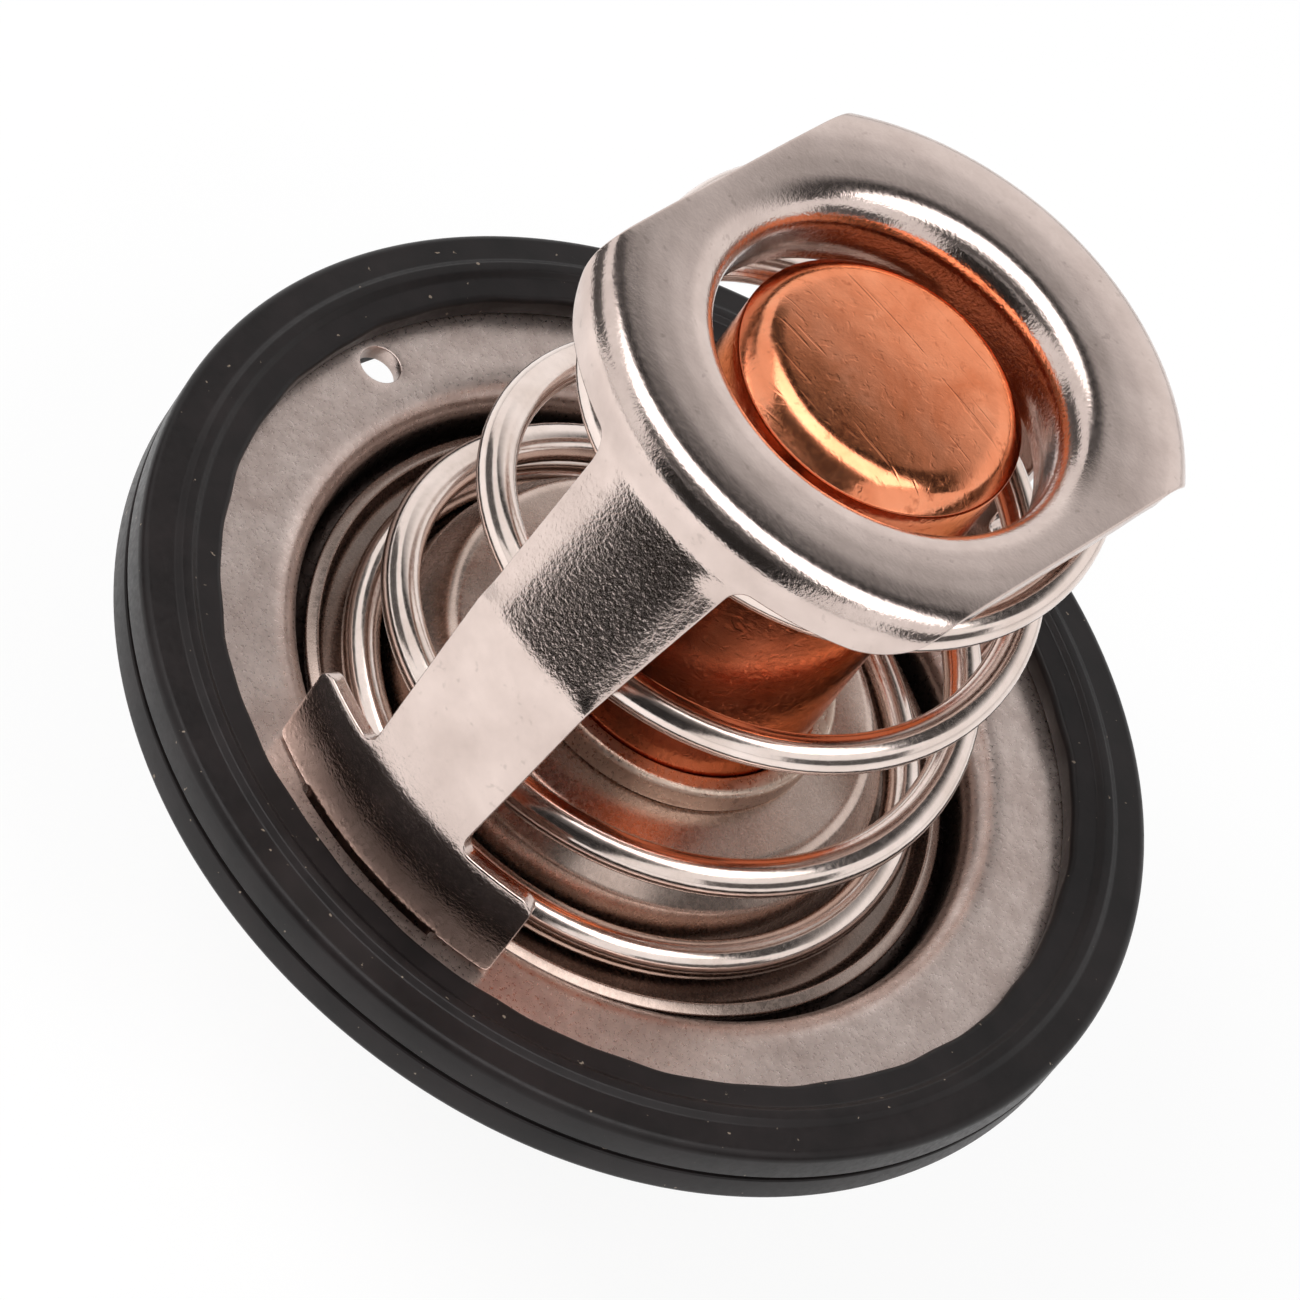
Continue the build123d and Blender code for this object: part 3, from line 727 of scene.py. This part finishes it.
foot_end = float(bridge.rho[-1]) - 0.02
crown = bridge.rho < 14
arm_start = float(np.interp(ARM_HALF, bridge.r[crown], bridge.rho[crown]))
half_arm = [
    (ARM_HALF, arm_start), (ARM_HALF, bridge_rho(ARM_LOW)), (BRIDGE_FOOT_HALF, bridge_rho(BRIDGE_FOOT_LOW)),
    (BRIDGE_FOOT_HALF, foot_end), (SLOT_HALF, foot_end), (SLOT_HALF, foot_end - NOTCH_D),
]
arm_outline = strap_outline(bridge, half_arm, [0, 2.0, 2.0, 0.5, 0.3, 0.2], 0.3)
bridge_verts, bridge_faces = bridge.mesh(arm_outline, [], edge=0.18, grid=0.5)
bridge_faces = [tuple(reversed(f)) for f in bridge_faces]
bridge_piece = new_piece(
    "bridge_strap", bridge_verts, bridge_faces, "seat", bridge_steel, "bridge"
)
keep_normals(bridge_piece)


# ---------------------------------------------------------------- turned and pressed pieces
def sheet_section(corners, radii, thickness, edge):
    """Closed section of a sheet whose upper face follows the path, with rounded ends."""
    upper = spaced(rounded(corners, radii, 0.06), 0.5)
    t = np.gradient(upper, axis=0)
    t /= np.linalg.norm(t, axis=1)[:, None]
    lower = upper - thickness * np.column_stack([-t[:, 1], t[:, 0]])
    section = np.vstack([upper, lower[::-1]])
    n = len(upper)
    end_radii = np.zeros(len(section))
    end_radii[[0, n - 1, n, 2 * n - 1]] = edge
    return rounded(section, end_radii, 0.05, closed=True)


disc_section = sheet_section(
    [(BORE_R, HUB_Z), (HUB_R, HUB_Z - HUB_FALL), (CONE_R, CONE_Z), (PAN_IN, PAN_Z), (PAN_OUT, PAN_Z),
     (PAN_RIM_R, PAN_Z + PAN_RIM_H)],
    [0, 1.2, 1.2, 0.55, 0.55, 0], DISC_T, edge=0.2,
)
disc_verts, disc_faces = lathe(disc_section, 320)
new_piece("valve_disc_pressed", disc_verts, disc_faces, "valve", disc_steel, "valve_disc")

ring_corners = [
    (BORE_R, HUB_Z), (BORE_R + RING_W, HUB_Z), (BORE_R + RING_W, HUB_Z + RING_H), (BORE_R, HUB_Z + RING_H)
]
ring_section = spaced(rounded(ring_corners, [0.1, 0.25, 0.45, 0.2], 0.05, closed=True), 0.2, closed=True)
ring_verts, ring_faces = lathe(ring_section, 320)
new_piece("ring_pressed", ring_verts, ring_faces, "valve", ring_steel, "retaining_ring")

head = [(r, CAP_TOP - DOME_DROP * (r / DOME_R) ** 2) for r in np.linspace(0, DOME_R, 12)]
for a in np.linspace(SHOULDER_START, SHOULDER_END, 16)[1:]:
    out_by = SHOULDER_R * (math.sin(a) - math.sin(SHOULDER_START))
    down_by = SHOULDER_R * (math.cos(SHOULDER_START) - math.cos(a))
    head.append((DOME_R + out_by, CAP_TOP - DOME_DROP - down_by))
cup_corners = head + [
    (CAP_R, CAP_TOP - HEAD_EDGE_DROP), (CAP_R, SEAT_RIM_Z + CAP_WALL), (CAP_RIM_R, SEAT_RIM_Z + CAP_WALL),
    (CAP_RIM_R, SEAT_RIM_Z), (CAP_R - CAP_WALL, SEAT_RIM_Z), (CAP_R - CAP_WALL, CAP_TOP - HEAD_INSIDE_DROP),
    (0, CAP_TOP - HEAD_INSIDE_DROP),
]
cup_radii = [0] * len(head) + [0.35, 0.3, 0.3, 0.1, 0.1, 0.3, 0]
cup_section = spaced(rounded(cup_corners, cup_radii, 0.06, closed=True), 0.6, closed=True)
cup_verts, cup_faces = lathe(cup_section, 256)
new_piece("copper_cup", cup_verts, cup_faces, "valve", cup_copper, "capsule")

guide_corners = [
    (GUIDE_BORE, WIPER_LOW), (WIPER_R, WIPER_LOW), (WIPER_R, NECK_LOW), (NECK_R, NECK_LOW), (NECK_R, GUIDE_LOW),
    (GUIDE_R, GUIDE_LOW), (GUIDE_R, GUIDE_LIP_Z), (BORE_R, GUIDE_LIP_Z), (BORE_R, SEAT_RIM_Z + CAP_WALL),
    (CAP_RIM_R, SEAT_RIM_Z + CAP_WALL), (CAP_RIM_R, SEAT_RIM_Z), (GUIDE_BORE, SEAT_RIM_Z),
]
guide_radii = [0, 0, 0.1, 0.5, 0.4, 0.5, 0.5, 0.1, 0, 0, 0, 0]
guide_verts, guide_faces = lathe(rounded(guide_corners, guide_radii, 0.06, closed=True), 224)
new_piece("guide_turned", guide_verts, guide_faces, "valve", brass, "guide_body")

piston_low = CUP_Z + BRIDGE_T
piston_corners = [(0, PISTON_TOP), (PISTON_R, PISTON_TOP), (PISTON_R, piston_low), (0, piston_low)]
piston_radii = [0, PISTON_EDGE, PISTON_EDGE, 0]
piston_verts, piston_faces = lathe(rounded(piston_corners, piston_radii, 0.06, closed=True), 96)
new_piece("piston_ground", piston_verts, piston_faces, "seat", piston_steel, "piston")

# ---------------------------------------------------------------- main spring
STEPS_PER_TURN, AROUND, END_SIZE = 96, 24, 0.8        # the wire's ends are a little thinner
spring_low = PAN_Z + SPRING_GAP + WIRE_R
spring_high = TOP - SHEET_T - SPRING_GAP - WIRE_R
pitch = (spring_high - spring_low) / (RISE_LOW / 2 + OPEN_TURNS + RISE_HIGH / 2)
turns = FLAT_LOW + RISE_LOW + OPEN_TURNS + RISE_HIGH + FLAT_HIGH


def coil(t):
    """Centre of the wire after t turns from its lower end."""
    rise = min(max(t - FLAT_LOW, 0), RISE_LOW)
    middle = min(max(t - FLAT_LOW - RISE_LOW, 0), OPEN_TURNS)
    close = min(max(t - FLAT_LOW - RISE_LOW - OPEN_TURNS, 0), RISE_HIGH)
    z = spring_low + pitch * (rise ** 2 / (2 * RISE_LOW) + middle + close - close ** 2 / (2 * RISE_HIGH))
    share = (spring_high - z) / (spring_high - spring_low)
    r = SPRING_TOP_R + (SPRING_PAN_R - SPRING_TOP_R) * share ** 2 * (3 - 2 * share)
    a = math.radians(SPRING_START + 360 * t)
    return Vector((r * math.cos(a), r * math.sin(a), z))


count = round(turns * STEPS_PER_TURN)
line = np.array([coil(turns * i / count) for i in range(count + 1)])
ahead = np.gradient(line, axis=0)
ahead /= np.linalg.norm(ahead, axis=1)[:, None]
spring_verts, spring_faces = [], []
for i in range(count + 1):
    size = WIRE_R * (END_SIZE if i in (0, count) else 1)
    along = Vector(ahead[i])
    radial = Vector((line[i][0], line[i][1], 0)).normalized()
    side = (radial - radial.dot(along) * along).normalized()
    rise = along.cross(side)
    for k in range(AROUND):
        a = 2 * math.pi * k / AROUND
        spring_verts.append(Vector(line[i]) + (side * math.cos(a) + rise * math.sin(a)) * size)
for i in range(count):
    for k in range(AROUND):
        m = (k + 1) % AROUND
        a, b = i * AROUND, (i + 1) * AROUND
        spring_faces.append((a + k, a + m, b + m, b + k))
spring_faces.append(tuple(reversed(range(AROUND))))
spring_faces.append(tuple(range(count * AROUND, (count + 1) * AROUND)))
spring = new_piece("spring_wire", spring_verts, spring_faces, "seat", wire_steel, "main_spring")
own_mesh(spring)

# ---------------------------------------------------------------- hidden pieces keep their solids
hidden = {"wax_charge": wax, "rubber_sleeve": sleeve_rubber, "wiper_ring": sleeve_rubber, "backup_washer": ptfe}
for name, m in hidden.items():
    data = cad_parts[name].data
    data.materials.clear()
    data.materials.append(m)

# ---------------------------------------------------------------- floor and backdrop, in metres
FLOOR_HALF, FLOOR_Z = 6.0, -0.0285
FLOOR_GLOW, SKY_LIGHT = 0.9, 0.55
WHITE = (1, 1, 1, 1)

floor_mesh = bpy.data.meshes.new("floor")
corners = [(-1, -1), (1, -1), (1, 1), (-1, 1)]
floor_mesh.from_pydata([(x * FLOOR_HALF, y * FLOOR_HALF, FLOOR_Z) for x, y in corners], [], [(0, 1, 2, 3)])
floor = bpy.data.objects.new("floor", floor_mesh)
bpy.context.collection.objects.link(floor)
paper, tree, shader, _ = material("floor_paper")
shader.inputs["Base Color"].default_value = (0.95, 0.95, 0.95, 1)
shader.inputs["Roughness"].default_value = 0.9
shader.inputs["Specular IOR Level"].default_value = 0.1
glow = node(tree, "Emission", Color=WHITE, Strength=1.0)
path = node(tree, "LightPath").outputs
seen = combine(tree, "MAXIMUM", path["Is Camera Ray"], path["Is Transmission Ray"])
surface = mix_shaders(tree, combine(tree, "MULTIPLY", seen, FLOOR_GLOW), shader.outputs[0], glow.outputs[0])
tree.links.new(surface, tree.nodes["Material Output"].inputs["Surface"])
floor.data.materials.append(paper)

world = bpy.data.worlds.new("world")
bpy.context.scene.world = world
world.use_nodes = True
tree = world.node_tree
tree.nodes.clear()
path = node(tree, "LightPath").outputs
light = node(tree, "Background", Color=WHITE, Strength=SKY_LIGHT)
white = node(tree, "Background", Color=WHITE, Strength=1.0)
seen = combine(tree, "MAXIMUM", path["Is Camera Ray"], path["Is Glossy Ray"])
seen = combine(tree, "MAXIMUM", seen, path["Is Transmission Ray"])
node(tree, "OutputWorld", Surface=mix_shaders(tree, seen, light.outputs[0], white.outputs[0]))


# ---------------------------------------------------------------- studio cards and lamps
def card(name, azimuth, elevation, distance, width, height, stops):
    """A grey studio card that only reflections see, shaded from its lower to its upper edge."""
    way = direction(azimuth, elevation)
    side = Vector((math.cos(math.radians(azimuth)), math.sin(math.radians(azimuth)), 0))
    c = way * distance
    w, h = side * width / 2, side.cross(way) * height / 2
    mesh = bpy.data.meshes.new(name)
    mesh.from_pydata([c - w - h, c + w - h, c + w + h, c - w + h], [], [(0, 1, 2, 3)])
    o = bpy.data.objects.new(name, mesh)
    bpy.context.collection.objects.link(o)
    m = bpy.data.materials.new(name)
    m.use_nodes = True
    tree = m.node_tree
    tree.nodes.remove(tree.nodes["Principled BSDF"])
    level = height_of(tree, node(tree, "TexCoord").outputs["Generated"])
    shade = ramp(tree, level, [(at, (v, v, v)) for at, v in stops])
    glow = node(tree, "Emission", Color=shade, Strength=1.0)
    tree.links.new(glow.outputs[0], tree.nodes["Material Output"].inputs["Surface"])
    o.data.materials.append(m)
    o.visible_camera = False
    o.visible_diffuse = False
    o.visible_shadow = False
    o.visible_transmission = False


card("card_front", 3.5, 20, 0.36, 0.40, 0.33, [(0, 0.02), (1, 0.03)])
card("card_upper_front", 0, 57, 0.8, 1.0, 0.36, [(0, 0.05), (0.7, 0.14), (1, 0.35)])
card("card_over", 0, 90, 0.9, 1.2, 0.5, [(0, 3.2), (1, 3.2)])
card("card_left", -85, 12, 1.2, 0.9, 0.6, [(0, 0.10), (1, 0.10)])
card("card_right", 85, 12, 1.2, 0.9, 0.6, [(0, 0.10), (1, 0.10)])
card("card_back", 180, 54, 1.2, 2.4, 0.78,
     [(0, 1.0), (0.10, 0.92), (0.28, 0.60), (0.40, 0.36), (0.50, 0.14), (0.58, 0.04), (1, 0.04)])


def softbox(name, azimuth, elevation, distance, size, power):
    """An area lamp turned to the object, which reflections don't see."""
    way = direction(azimuth, elevation)
    data = bpy.data.lights.new(name, "AREA")
    data.shape = "RECTANGLE"
    data.size, data.size_y = size
    data.energy = power
    o = bpy.data.objects.new(name, data)
    o.location = way * distance
    o.rotation_euler = way.to_track_quat("Z", "Y").to_euler()
    o.visible_glossy = False
    bpy.context.collection.objects.link(o)


softbox("key", -40, 48, 0.8, (0.5, 0.4), 4.0)
softbox("fill", 60, 55, 0.9, (0.4, 0.3), 2.0)
